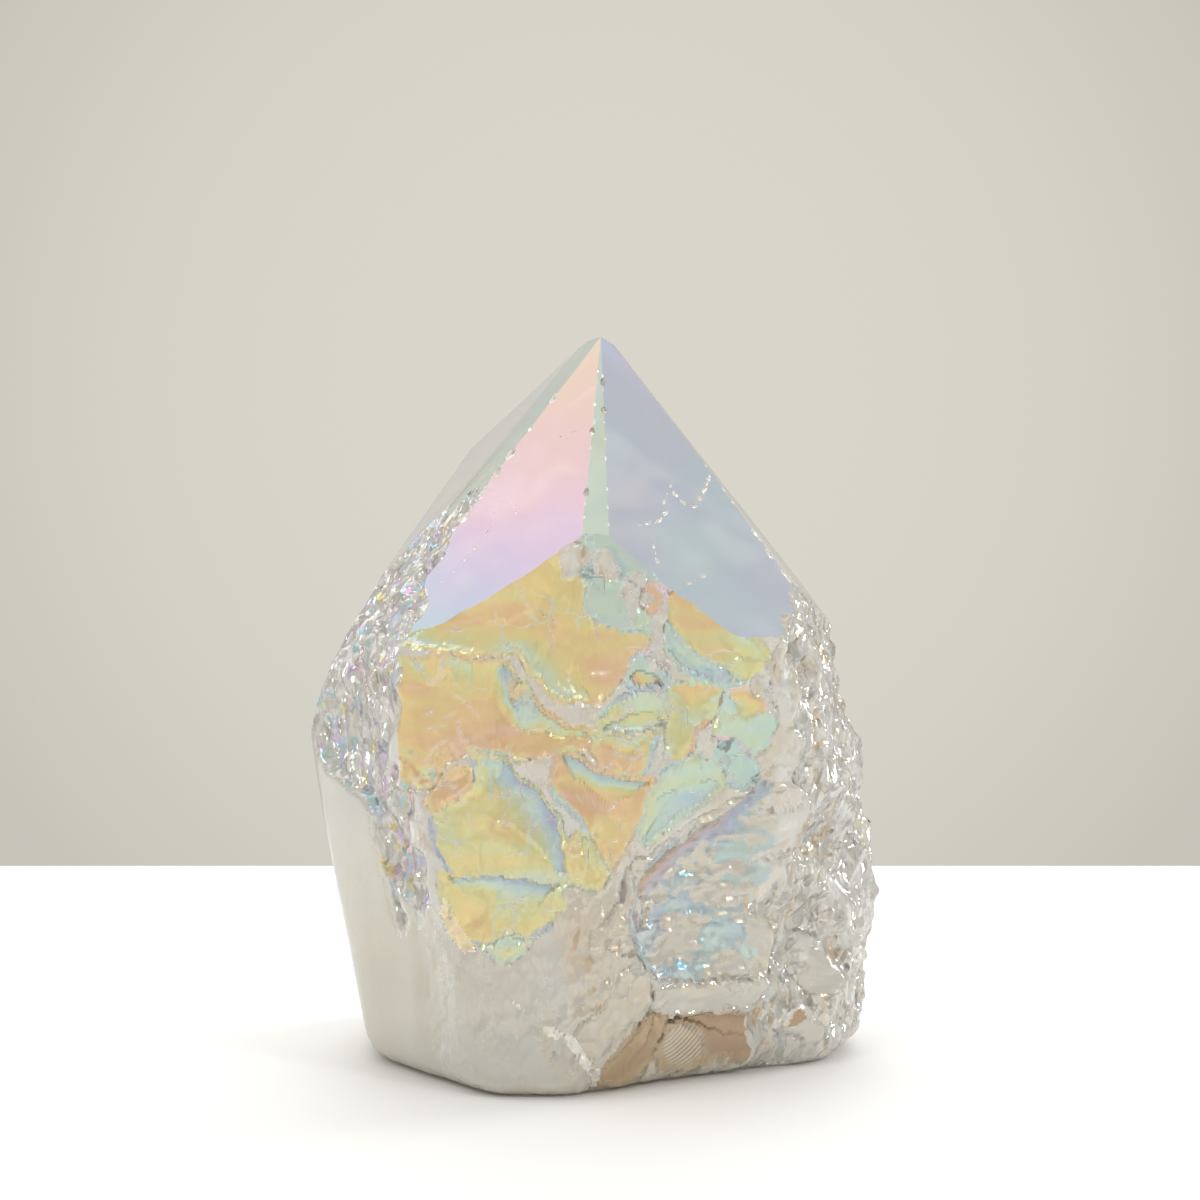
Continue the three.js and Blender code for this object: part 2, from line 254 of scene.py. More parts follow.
def outline_distance(x, z, outline):
    """How far inside the outline each point is (less than 0 outside), and which way the edge lies."""
    nearest = np.full(len(x), np.inf)
    toward = np.zeros((2, len(x)))
    inside = np.zeros(len(x), bool)
    for (ax, az), (bx, bz) in zip(outline, outline[1:] + outline[:1]):
        along = ((x - ax) * (bx - ax) + (z - az) * (bz - az)) / ((bx - ax) ** 2 + (bz - az) ** 2)
        along = np.clip(along, 0, 1)
        off = np.stack([ax + along * (bx - ax) - x, az + along * (bz - az) - z])
        distance = np.hypot(*off)
        closer = distance < nearest
        nearest = np.where(closer, distance, nearest)
        toward = np.where(closer, off / np.maximum(distance, 1e-9), toward)
        if az != bz:
            inside ^= ((az > z) != (bz > z)) & (x < (bx - ax) * (z - az) / (bz - az) + ax)
    return np.where(inside, nearest, -nearest), toward


def front_relief(at, x, z):
    """The hollows of the front: depth, film, frost and grit."""
    x = x + 1.3 * (swell(at, 3.4, 81) - 0.5) + 0.6 * (swell(at, 1.3, 82) - 0.5)
    z = z + 1.3 * (swell(at, 3.4, 83) - 0.5) + 0.6 * (swell(at, 1.3, 84) - 0.5)
    deepest, second = np.full(len(x), -9.0), np.full(len(x), -9.0)
    # outside every hollow: no depth and no rim, a slope width of 1, and the film of the crests
    best = (0, 0, 1, CREST_FILM, CREST_FILM, 12, 1, 0)
    for name, ((full_depth, side, rim_width, on_floor, by_rim, varies), outline) in FLAKES.items():
        inward, toward = outline_distance(x, z, outline)
        inward = inward + SPREAD
        across, up = math.cos(math.radians(side)), math.sin(math.radians(side))
        rim_here = smoothstep(across * toward[0] + up * toward[1], 0.35, 0.9)
        reaches = [across * px + up * pz for px, pz in outline]
        toward_rim = (across * x + up * z - min(reaches)) / (max(reaches) - min(reaches))
        wins = inward > deepest
        second = np.where(wins, deepest, np.maximum(second, inward))
        deepest = np.where(wins, inward, deepest)
        here = full_depth * (0.35 + 0.65 * np.clip(toward_rim, 0, 1))
        slope = FAR_SIDE_WIDTH + (rim_width - FAR_SIDE_WIDTH) * rim_here
        mine = (here, rim_here, slope, on_floor, by_rim, varies, rim_width, name == "window")
        best = [np.where(wins, new, old) for new, old in zip(mine, best)]
    deep, rim, width, floor_film, rim_film, mottle, rim_width_here, cloudy = best
    edge = np.clip(deepest - np.maximum(second, 0), 0, None)
    inside = edge > 0
    depth = deep * (1 - np.exp(-edge / width))

    # film: from the rim's colour to the floor's, streaked and mottled
    streaks = swell(at * (0.5, 1, 1.8), 3.2, 86) - 0.5
    flat_depth, flat = chips(at, 6.5, 101)
    fringe = np.exp(-((edge / (1.2 + 1.5 * rim_width_here)) ** 2)) * rim
    film = floor_film + (rim_film - floor_film) * fringe + mottle * (streaks + 0.5 * (flat - 0.5))
    film += cloudy * 24 * (swell(at * (0.6, 1, 1.3), 3.2, 90) - 0.4)

    # splinters of the crests, in a fan
    from_x, from_z = x - FAN_CENTRE[0], z - FAN_CENTRE[1]
    spread_out = [np.arctan2(from_z, from_x) * FAN_REACH, 0 * x, 0.4 * np.hypot(from_x, from_z)]
    spread_out = np.column_stack(spread_out)
    spread_out += 1.2 * np.stack([swell(at, 2.6, seed) - 0.5 for seed in (161, 162, 163)], 1)
    splinter, which = chips(spread_out, 1.7, 151)
    small_splinter, small_which = chips(spread_out, 0.85, 152)
    low_right = smoothstep(38 - z, 0, 8) * smoothstep(x, -9, 1)
    hackled = np.exp(-np.clip(edge, 0, None) / 0.5) * (0.3 + 0.7 * low_right)
    crest_film = CREST_FILM + 34 * (swell(at * (1, 1, 0.5), 4, 85) - 0.42)
    # some splinters at the lower right take a tan film: painted shade between the splinters
    crest_film += 24 * (which > 0.72) * low_right
    film = np.where(inside, film, crest_film)

    # frost: on the crests, and in clouds and upright streaks in the window
    veil = 0.6 + 0.4 * smoothstep(swell(at * (1.3, 1, 0.5), 3.5, 97), 0.3, 0.7)
    ragged_edge = edge + 0.9 * (swell(at, 0.9, 80) - 0.6)
    crest = veil * (1 - 0.5 * hackled * which) * np.exp(-np.clip(ragged_edge, 0, None) / 0.4)
    clouds = 2.2 * (swell(at * (0.5, 1, 1.5), 3.4, 89) - 0.35)
    clouds += 1.4 * (swell(at * (0.7, 1, 2.2), 1.2, 79) - 0.5)
    clouds = np.clip(1.3 * clouds, 0, 0.95)
    hackles = smoothstep(swell(at * (2.6, 2.6, 0.35), 1.6, 94), 0.52, 0.64)
    hackles = hackles * np.exp(-np.clip(edge - 0.8, 0, None) / 2.2) * rim
    frost = CREST_FROST * crest * np.where(inside, 1 - 0.4 * rim, 1)
    frost = np.maximum(frost, cloudy * np.maximum((0.5 + 0.7 * clouds) * (1 - fringe), hackles))
    crumb = np.where(inside, np.exp(-edge / 0.9), 0.3)
    film = np.where(inside & (cloudy > 0) & (frost > 0.8), CREST_FILM + 6, film)
    depth += hackled * (0.75 * splinter + 0.35 * small_splinter)
    layers, fine_layers = chips(at * (0.5, 1, 1.4), 3, 141)[0], chips(at * (0.5, 1, 1.5), 1.4, 142)[0]
    depth += 0.4 * flat_depth + cloudy * (0.7 * layers + 0.45 * fine_layers)
    depth += (0.07 + 0.4 * crumb) * chips(at, 2.4, 111)[0]
    depth += (0.02 + 0.2 * crumb) * chips(at, 0.95, 121)[0]
    return depth, film, frost, 0.12 + 0.6 * np.maximum(crumb, hackled * 0.7 * small_which)


# Fine steps where the break ran in curved ripples
STEP_COUNT = 170


def ripple_step(n):
    """Where it is, its direction, half length, height, fade and bend."""
    random = lambda k: scatter(n, k, 3, 91)
    x, z = -27 + 54 * random(0), 12 + 56 * random(1)
    direction = (random(2) - 0.5) * 110 + (0 if random(7) < 0.7 else 90)
    height = (0.08 + 0.22 * random(4) ** 2) * (1 if random(5) < 0.55 else -1)
    half, fade, bend = 1 + 3.2 * random(3) ** 2, 0.7 + 1.6 * random(6), 0.16 * (random(8) - 0.5)
    return x, z, direction, half, height, fade, bend


# Ledges that catch the light: (x, z, half length, height)
LEDGES = [
    (4.4, 50.3, 4, 0.5),
    (7.1, 55.6, 2.6, 0.5),
    (0.1, 57.5, 1.9, 0.22),
    (-0.9, 64.7, 1, 0.4),
    (-19, 60.6, 3, 0.35),
    (-10.5, 45.6, 3.2, 0.3),
]
ripple_steps = [ripple_step(n) for n in range(STEP_COUNT)]
ripple_steps += [(x, z, 0, half, -height, 0.9, 0.02) for x, z, half, height in LEDGES]


def step_relief(at, x, z):
    """The steps' depth, and how much of each point is a step's frosted edge, made pale partly as a
    painted highlight of the glint a step catches.
    """
    x = x + 0.8 * (swell(at, 2.1, 87) - 0.5)
    z = z + 0.8 * (swell(at, 2.1, 88) - 0.5)
    depth, line = np.zeros(len(x)), np.zeros(len(x))
    for cx, cz, direction, half, height, fade, bend in ripple_steps:
        c, s = math.cos(math.radians(direction)), math.sin(math.radians(direction))
        u = (x - cx) * c + (z - cz) * s
        v = (z - cz) * c - (x - cx) * s - bend * u * u
        ends = smoothstep(half - np.abs(u), 0, half * 0.6)
        depth += height * ends * np.where(v < 0, np.exp(np.minimum(v, 0) / fade), 0)
        line = np.maximum(line, ends * np.exp(-((v / 0.24) ** 2)))
    return depth, line


# Scars on the sides and back, each the bowl of a ball pressed into the stone: least and most of each
SIDE_SCAR_COUNT, SIDE_SCAR_LEAN = 74, 24
SCAR_TURN, SCAR_HEIGHT, SCAR_WIDTH, SCAR_DEPTH = (54, 260), (3, 74), (9, 22), (0.8, 2.6)
# From turn to turn, the back is coated in gold and green, and the sides are bare
BACK_FROM, BACK_TO = 110, 215


def between(limits, share):
    return limits[0] + (limits[1] - limits[0]) * share


def side_scar(n):
    """A scar's ball (its centre and radius), and its film."""
    random = lambda k: scatter(n, k, 0, 7)
    turn, z = between(SCAR_TURN, (n * 0.618) % 1), between(SCAR_HEIGHT, random(1))
    wide, deep = between(SCAR_WIDTH, random(2)), between(SCAR_DEPTH, random(2) * random(3))
    face = facing(turn + SIDE_SCAR_LEAN * (random(4) - 0.5), SIDE_SCAR_LEAN * (random(5) - 0.5))
    ball = wide * wide / (8 * deep) + deep / 2
    film = 186 + 26 * random(6) if BACK_FROM <= turn <= BACK_TO else 64 + 20 * random(7)
    return blank_point(turn, z) + face * (ball - deep), ball, film


side_scars = [side_scar(n) for n in range(SIDE_SCAR_COUNT)]

# (turn, half width, foot, how much higher the foot is for each degree further left, top, level)
ROUGH_ZONES = [
    (-96, 42, 24, 0.6, 200, 1),
    (-58, 12, 20, 0, 48, 0.9),
    (88, 37, -10, 0, 200, 1),
    (180, 66, -10, 0, 200, 0.4),
    (80, 26, -10, 0, 42, 1),
]

# Splintered patches on the front: (x, z, radius, level)
ROUGH_PATCHES = [
    (-7.4, 76, 3, 0.3), (-3.6, 74.6, 3, 0.4), (0.6, 72.4, 3, 0.45), (5.2, 68.6, 3, 0.4),
    (10.6, 63, 3, 0.3), (24.5, 56, 4, 0.45), (8.6, 59, 2.6, 0.4), (8, 47, 2.2, 0.4),
    (27, 39, 3.4, 0.5), (28.4, 33, 2.6, 0.5), (27, 46, 3, 0.45), (3.4, 27.2, 3.2, 0.5),
    (6.6, 24.6, 2.4, 0.5), (6.8, 20.4, 2, 0.5), (4.6, 16, 2, 0.5), (3, 12.6, 2, 0.4),
    (-6.4, 9.2, 2, 0.5), (-3.8, 7.6, 1.8, 0.5), (-1.8, 4.6, 1.8, 0.5), (2, 8, 3, 0.3),
    (19.6, 14.4, 3.4, 0.35), (24, 20, 3, 0.35), (26.4, 7.6, 4, 0.35),
]

# Spots where the stone stays smooth and is painted brown, a painted shade for the dark seen through the
# stone there: (x, z, radius)
BROWN_SHADE_SPOTS = [(33.2, 12.2, 1.5), (32.6, 17.7, 0.9), (33.6, 15.4, 0.9), (28.4, 7.4, 1.4), (30.4, 5, 1.1)]


def roughness_of(turn, z):
    """How splintery the stone is, from 0 to 1."""
    at = blank_point(turn, z)
    turn = turn + 16 * (swell(at, 9, 131) - 0.5) + 7 * (swell(at, 2.6, 132) - 0.5)
    z = z + 8 * (swell(at, 7, 133) - 0.5) + 4 * (swell(at, 2.2, 134) - 0.5)
    level = np.full(len(turn), 0.04)
    for zone_turn, half, foot, climb, head, strength in ROUGH_ZONES:
        off = np.abs((turn - zone_turn + 180) % 360 - 180)
        above = z - foot - climb * np.clip(-turn - 50, 0, 60)
        here = strength * smoothstep(half - off, 0, 7) * smoothstep(above, 0, 6)
        level = np.maximum(level, here * smoothstep(head - z, 0, 6))
    for spot_x, spot_z, radius in BROWN_SHADE_SPOTS:
        away = np.hypot(at[:, 0] - spot_x, at[:, 2] - spot_z)
        level = np.where(at[:, 1] < 0, level * smoothstep(away, radius, radius + 1), level)
    x = at[:, 0] + 2 * (swell(at, 2.2, 135) - 0.5)
    for patch_x, patch_z, radius, strength in ROUGH_PATCHES:
        here = strength * smoothstep(radius - np.hypot(x - patch_x, z - patch_z), 0, 1.2)
        level = np.maximum(level, np.where(at[:, 1] < 0, here, 0))
    return level


FAR_FROM_CREST = 9.0
# Scars with a film thicker than this are coloured ones, and their film is thinner along the rim
COATED_FILM, RIM_THINNING = 100, 34
# How far round the front's own hollows reach, and how far they fade out
FRONT_HALF, FRONT_FADE = 58, 8


def main_reach(turn, z):
    """The stone with its scars: its reach, film, frost and grit."""
    at = blank_point(turn, z)
    out = facing(turn)
    blank = blank_reach(turn, z)
    reach = blank - 1.6 * swell(at, 17, 11)
    film = np.where(turn < BACK_FROM, 68, 185) + 30 * (swell(at, 12, 61) - 0.5)
    crest = np.full(len(reach), FAR_FROM_CREST)
    wander = 2.4 * np.stack([swell(at, 4, seed) - 0.5 for seed in (62, 63, 64)], 1)
    wander += 0.9 * np.stack([swell(at, 1.4, seed) - 0.5 for seed in (65, 66, 67)], 1)
    for centre, ball, scar_film in side_scars:
        shifted = centre + wander
        along = (out * shifted).sum(1)
        aside = shifted[:, 0] ** 2 + shifted[:, 1] ** 2 - along**2 + (z - shifted[:, 2]) ** 2
        hit = (along > 0) & (aside < ball * ball)
        entry = np.where(hit, along - np.sqrt(np.maximum(ball * ball - aside, 0)), np.inf)
        met = np.isfinite(entry)
        from_crest = np.minimum(crest, np.where(met, entry - reach, FAR_FROM_CREST))
        crest = np.where(entry < reach, reach - entry, from_crest)
        if scar_film > COATED_FILM:
            by_rim = RIM_THINNING * np.exp(-np.clip(np.where(met, reach - entry, 0), 0, None) / 0.7)
            film = np.where(entry < reach, scar_film - by_rim, film)
        else:
            film = np.where(entry < reach, scar_film, film)
        reach = np.minimum(reach, entry)
    frost = 0.7 * np.clip(1 - crest / 0.4, 0, 1)
    front = smoothstep(FRONT_HALF - np.abs(turn), 0, FRONT_FADE)
    on_front = front > 0
    x = out[on_front, 0] * (blank[on_front] - 1.4)
    depth, front_film, front_frost, front_grit = front_relief(at[on_front], x, z[on_front])
    stepped, lines = step_relief(at[on_front], x, z[on_front])
    part = front[on_front]
    reach[on_front] -= (depth + stepped) * part
    film[on_front] = np.where(part > 0.5, front_film, film[on_front])
    # the steps' edges are frosted pale: partly a frosted break, partly a painted highlight
    frost[on_front] += (np.maximum(front_frost, 0.75 * lines) - frost[on_front]) * part
    grit = np.full(len(reach), 0.25)
    grit[on_front] += (front_grit - grit[on_front]) * part
    return reach, film, frost, grit


# The grid: columns stand closest together over the front, and closer at the sides than at the back.
# (from turn, to turn, columns)
COLUMN_RUNS = [(-60, 60, 256), (60, 122, 76), (122, 238, 100), (238, 300, 76)]
ROW_HEIGHT = 0.36
ROUGH_TOP, BLANK_TOP = 80, 106
columns = np.concatenate([np.linspace(a, b, n, endpoint=False) for a, b, n in COLUMN_RUNS])
columns = (columns + 180) % 360 - 180
wear_steps = np.linspace(0, 1, 7)[:-1]
worn_rows = BASE_WEAR * (1 - np.cos(wear_steps * math.pi / 2))
rows = np.concatenate([worn_rows, np.arange(BASE_WEAR, ROUGH_TOP, ROW_HEIGHT)])
turns, heights = np.meshgrid(columns, rows)
turns, heights = turns.ravel(), heights.ravel()

reach = main_reach(turns, heights)[0]
surface = facing(turns) * reach[:, None]
surface[:, 2] = heights
rough = roughness_of(turns, heights)
GRAIN_STRETCH = np.array([1, 1, 0.55])
MEDIUM_SPLINTER, FINE_SPLINTER = 2.1, 1.0
coarse = chips(blank_point(turns, heights) * GRAIN_STRETCH, 5.6, 21)[0]
medium = chips(surface * GRAIN_STRETCH, MEDIUM_SPLINTER, 31)[0]
fine = chips(surface * GRAIN_STRETCH, FINE_SPLINTER, 41)[0]
back_facing = smoothstep(np.abs(turns), 116, 128)
splinters = 1.8 * smoothstep(rough, 0.5, 0.9) * coarse + 0.9 * medium + 0.5 * fine * (1 - back_facing)
reach -= rough * splinters
worn = np.maximum(BASE_WEAR - heights, 0)
reach -= BASE_WEAR - np.sqrt(BASE_WEAR**2 - worn**2)
points = facing(turns) * reach[:, None]
points[:, 2] = heights

count = len(columns)
top_reach = blank_reach(columns, float(BLANK_TOP))
top = facing(columns) * top_reach[:, None]
top[:, 2] = BLANK_TOP
points = np.concatenate([points, top, [[0, 0, 0], [0, 0, BLANK_TOP]]])
bottom_centre, top_centre = len(points) - 2, len(points) - 1
levels = len(rows) + 1
here = np.arange(count)
after = (here + 1) % count
quads = []
for level in range(levels - 1):
    low, high = level * count, (level + 1) * count
    quads.append(np.stack([low + here, low + after, high + after, high + here], 1))
last = (levels - 1) * count
faces = [tuple(q) for q in np.concatenate(quads).tolist()]
faces += [(bottom_centre, b, a) for a, b in zip(here.tolist(), after.tolist())]
faces += [(top_centre, last + a, last + b) for a, b in zip(here.tolist(), after.tolist())]
stone_mesh = bpy.data.meshes.new("quartz_crystal")
stone_mesh.from_pydata((points * MM).tolist(), [], faces)
stone = bpy.data.objects.new("quartz_crystal", stone_mesh)
bpy.context.collection.objects.link(stone)


# ---- The polished tip ----
# The end of the crystal is ground to flat faces at quartz's own angle, with two narrow bevels along
# its edges, and polished. Each face is one plane that takes the rough stone away.

FACE_SLOPE = 51.8
BLOCK_SIDE = 0.4
# (turn, slope from level, how far outside the tip point, film thickness at the top)
POLISHED_FACES = [
    (-32, FACE_SLOPE, 0, 222),
    (28, FACE_SLOPE, 0, 147),
    (80, 50.5, 1.2, 70),
    (93, 52.3, 0.7, 90),
    (148, FACE_SLOPE, 0, 200),
    (-152, 48.1, 1.4, 180),
    (-110, 66.2, 11.9, 150),
    (-78, 48.2, 0.7, 62),
    (-62, 47.7, 0, 178),
    (-2, 49.1, 0, 174),
]


def apply_modifiers(piece):
    evaluated = piece.evaluated_get(bpy.context.evaluated_depsgraph_get())
    result = bpy.data.meshes.new_from_object(evaluated)
    piece.modifiers.clear()
    piece.data = result


def face_plane(index):
    """A polished face's normal, and how far out along it the face lies."""
    turn, slope, outside, _ = POLISHED_FACES[index]
    normal = facing(turn, 90 - slope)
    return normal, normal[2] * HEIGHT + outside


def cut_away(piece, block):
    cut = piece.modifiers.new("cut", "BOOLEAN")
    cut.operation = "DIFFERENCE"
    cut.solver = "MANIFOLD"
    cut.object = block
    apply_modifiers(piece)
    bpy.data.objects.remove(block)


def grind(piece, normal, point):
    """Takes away everything outside the plane through point."""
    bpy.ops.mesh.primitive_cube_add(size=BLOCK_SIDE)
    block = bpy.context.object
    block.data.transform(Matrix.Translation((0, 0, BLOCK_SIDE / 2)))
    turned = Vector((0, 0, 1)).rotation_difference(Vector(normal)).to_matrix().to_4x4()
    block.data.transform(Matrix.Translation(Vector(point) * MM) @ turned)
    cut_away(piece, block)


for index, (_, _, outside, _) in enumerate(POLISHED_FACES):
    normal, _ = face_plane(index)
    grind(stone, normal, np.array([0, 0, HEIGHT]) + normal * outside)


# ---- Nicks and cracks ----
# Small glassy nicks along the ground edges, with a healed crack and short scratches on the two front
# faces. Each is a rough lump or sliver taken out of the polished stone.

FRONT_LEFT, FRONT_RIGHT, RIGHT_SIDE, LEFT_BEVEL, FRONT_BEVEL = 0, 1, 2, 8, 9


def on_face(index, places):
    """The points of a polished face at these places (x, z)."""
    normal, reach = face_plane(index)
    return [(x, (reach - normal[0] * x - normal[2] * z) / normal[1], z) for x, z in places]


def on_edge(one, other, top, low):
    """The edge between two polished faces, from one height to another."""
    ends = []
    for z in (top, low):
        planes = [face_plane(one), face_plane(other), (np.array([0, 0, 1]), z)]
        ends.append(tuple(np.linalg.solve([p[0] for p in planes], [p[1] for p in planes])))
    return ends


def add_node(tree, kind, given=None, **settings):
    """A node with these settings. Each input named in given takes a value or another node's output."""
    node = tree.nodes.new(kind)
    for name, value in settings.items():
        setattr(node, name, value)
    for socket, value in (given or {}).items():
        if isinstance(value, bpy.types.NodeSocket):
            tree.links.new(value, node.inputs[socket])
        else:
            node.inputs[socket].default_value = value
    return node


def number_node(tree, operation, *values, clamp=False):
    given = dict(enumerate(values))
    return add_node(tree, "ShaderNodeMath", given, operation=operation, use_clamp=clamp).outputs[0]


def vector_node(tree, operation, *values):
    made = add_node(tree, "ShaderNodeVectorMath", dict(enumerate(values)), operation=operation)
    return made.outputs["Value" if operation in ("LENGTH", "DOT_PRODUCT") else "Vector"]


def scaled_vector(tree, value, factor):
    made = add_node(tree, "ShaderNodeVectorMath", {0: value, "Scale": factor}, operation="SCALE")
    return made.outputs["Vector"]


LUMP_SIZES = ("Spacing", "Slip", "Size", "Length", "Share")
# How fine a lump's own roughness is (to a metre), and how deep for its size
LUMP_NOISE, LUMP_NOISE_DEPTH = 2400, 1.3


def lump_group():
    """Lumps set along lines, Slip out of step. Length is for their width, Share of the places is used."""
    tree = bpy.data.node_groups.new("lumps_along_lines", "GeometryNodeTree")
    kinds = [("Geometry", "Geometry"), *((name, "Float") for name in LUMP_SIZES)]
    kinds += [("Seed", "Int"), ("Material", "Material")]
    sockets = {}
    for name, kind in kinds:
        socket = tree.interface.new_socket(name, in_out="INPUT", socket_type="NodeSocket" + kind)
        sockets[name] = socket.identifier
    tree.interface.new_socket("Geometry", in_out="OUTPUT", socket_type="NodeSocketGeometry")
    add, number = partial(add_node, tree), partial(number_node, tree)
    given = add("NodeGroupInput").outputs

    def random(low, high):
        made = add("FunctionNodeRandomValue", {2: low, 3: high, "Seed": given["Seed"]}, data_type="FLOAT")
        return made.outputs[1]

    curve = add("GeometryNodeMeshToCurve", {"Mesh": given["Geometry"]}).outputs["Curve"]
    evenly = add("GeometryNodeResampleCurve", {"Curve": curve, "Length": given["Spacing"]}, mode="LENGTH")
    along = add("GeometryNodeInputTangent").outputs["Tangent"]
    slid = scaled_vector(tree, along, number("MULTIPLY", random(-1, 1), given["Slip"]))
    unevenly = add("GeometryNodeSetPosition", {"Geometry": evenly.outputs["Curve"], "Offset": slid})
    lump = add("GeometryNodeMeshIcoSphere", {"Radius": 1, "Subdivisions": 2})
    chances = {"Probability": given["Share"], "Seed": given["Seed"]}
    chosen = add("FunctionNodeRandomValue", chances, data_type="BOOLEAN")
    turned = add("FunctionNodeAlignRotationToVector", {"Vector": along}, axis="X")
    across = number("MULTIPLY", random(0.5, 1), given["Size"])
    longer = number("MULTIPLY", across, given["Length"])
    scale = add("ShaderNodeCombineXYZ", {"X": longer, "Y": across, "Z": across})
    placing = {"Points": unevenly.outputs["Geometry"], "Instance": lump.outputs["Mesh"]}
    placing |= {"Selection": chosen.outputs[3], "Rotation": turned.outputs["Rotation"]}
    placed = add("GeometryNodeInstanceOnPoints", {**placing, "Scale": scale.outputs["Vector"]})
    real = add("GeometryNodeRealizeInstances", {"Geometry": placed.outputs["Instances"]})
    rough = add("ShaderNodeTexNoise", {"Scale": LUMP_NOISE, "Detail": 1}).outputs["Color"]
    centred = vector_node(tree, "SUBTRACT", rough, (0.5, 0.5, 0.5))
    moved = scaled_vector(tree, centred, number("MULTIPLY", given["Size"], LUMP_NOISE_DEPTH))
    uneven = add("GeometryNodeSetPosition", {"Geometry": real.outputs["Geometry"], "Offset": moved})
    finish = {"Geometry": uneven.outputs["Geometry"], "Material": given["Material"]}
    surfaced = add("GeometryNodeSetMaterial", finish)
    add("NodeGroupOutput", {"Geometry": surfaced.outputs["Geometry"]})
    return tree, sockets


FRONT_EDGES = [on_edge(FRONT_LEFT, FRONT_BEVEL, 96, 74), on_edge(FRONT_RIGHT, FRONT_BEVEL, 95, 73)]
LEFT_EDGE = [on_edge(FRONT_LEFT, LEFT_BEVEL, 92, 68)]
RIGHT_EDGE = [on_edge(FRONT_RIGHT, RIGHT_SIDE, 93, 64)]
# A crack with glassy chips across the right face, and fine scratches on the left one: (x, z)
RIGHT_CRACK_PATH = [
    [(15, 82.8), (14.3, 80.8), (13.4, 79.4)],
    [(12.6, 78.4), (10.9, 79), (10, 80)],
    [(9.3, 81), (8.5, 79.2)],
    [(8.6, 77.8), (7.6, 76.8), (5.2, 76.6)],
    [(11.8, 69.2), (13.6, 69.9)],
    [(7, 74), (7.5, 72.2)],
]
LEFT_CRACK_PATH = [
    [(-14, 78.6), (-14.9, 75.5), (-16.5, 73.5), (-19.2, 70.4), (-21.4, 68.6)],
    [(-12.4, 79.6), (-11.4, 77.6)],
    [(-5.6, 87.2), (-3.4, 88.2)],
    [(-3.8, 85.6), (-2.2, 85.2)],
]
RIGHT_CRACK = [on_face(FRONT_RIGHT, line) for line in RIGHT_CRACK_PATH]
LEFT_CRACK = [on_face(FRONT_LEFT, line) for line in LEFT_CRACK_PATH]
# (lines, spacing, slip, size, length for its width, share, seed), each a round of its own
NICKS = [
    (FRONT_EDGES, 4.2, 0.9, 0.42, 1.8, 0.5, 3),
    (FRONT_EDGES, 2.6, 0.6, 0.24, 2, 0.6, 4),
    (LEFT_EDGE, 3, 0.3, 0.85, 1.5, 0.6, 5),
    (LEFT_EDGE, 1.7, 0.2, 0.4, 1.6, 0.5, 6),
    (RIGHT_EDGE, 3.4, 0.4, 0.6, 2, 0.6, 8),
    (RIGHT_EDGE, 2.1, 0.2, 0.3, 2.4, 0.6, 9),
    (RIGHT_CRACK, 1.6, 0.1, 0.4, 1.6, 0.7, 11),
    (RIGHT_CRACK, 1.1, 0, 0.2, 2.4, 0.9, 12),
    (RIGHT_CRACK, 1.3, 0.1, 0.28, 1.9, 0.6, 16),
    (LEFT_CRACK, 0.5, 0, 0.085, 2.6, 1, 13),
    (LEFT_CRACK, 2.3, 0.5, 0.22, 1.4, 0.4, 14),
]


def line_object(lines):
    made = bpy.data.meshes.new("lines")
    joined, edges = [], []
    for line in lines:
        edges += [(len(joined) + n, len(joined) + n + 1) for n in range(len(line) - 1)]
        joined += [tuple(c * MM for c in point) for point in line]
    made.from_pydata(joined, edges, [])
    return bpy.data.objects.new("lines", made)


lumps, lump_sockets = lump_group()
fresh_break = bpy.data.materials.new("fresh_break")
for lines, spacing, slip, size, length, share, seed in NICKS:
    cutter = line_object(lines)
    bpy.context.collection.objects.link(cutter)
    grown = cutter.modifiers.new("lumps", "NODES")
    grown.node_group = lumps
    for name, value in zip(LUMP_SIZES, (spacing * MM, slip * MM, size * MM, length, float(share))):
        grown[lump_sockets[name]] = value
    grown[lump_sockets["Seed"]] = seed
    grown[lump_sockets["Material"]] = fresh_break
    apply_modifiers(cutter)
    solid = cutter.data
    solid.materials.clear()
    solid.materials.append(None)
    solid.materials.append(fresh_break)
    solid.polygons.foreach_set("material_index", np.ones(len(solid.polygons), np.int32))
    cut_away(stone, cutter)
stone.data.validate()


# ---- The aura finish ----
# The whole crystal was warmed under vacuum and coated with a film of precious metal, some hundreds of
# atoms thick. The film's thickness gives each place its colour, and crests are frosted where it is thin.

# the brown film of the smooth spots is painted shade; the nicks' pale film is partly a painted glint
SAWN_FILM, NICK_GLINT_FILM, BROWN_SHADE_FILM, LEFT_FOOT_FILM = 20, 70, 103, 74
# A change of film across one face that is taken to be a border, and an edge that shows (degrees)
SHARP_CHANGE, SHARP_ANGLE = 26, 24
# How much the film varies over each polished face, and how milky the face looks
FILM_DRIFT = {FRONT_LEFT: 10, FRONT_RIGHT: 24}
MILKINESS = {FRONT_LEFT: 0.8, FRONT_RIGHT: 0.25, LEFT_BEVEL: 0.7, FRONT_BEVEL: 0.5}
# The film on the left front face grows by this for each square millimetre down from the point
FILM_GROWTH = 0.042
# Films on the splintered left side and right side, one of them to each small facet
LEFT_FLECKS = np.array([66, 280, 66, 62, 240, 66, 70, 286, 66, 204, 62, 250, 74, 266, 66, 60])
RIGHT_FLECKS = np.array([66, 60, 70, 66, 84, 62, 66, 74, 66, 94, 66, 60])
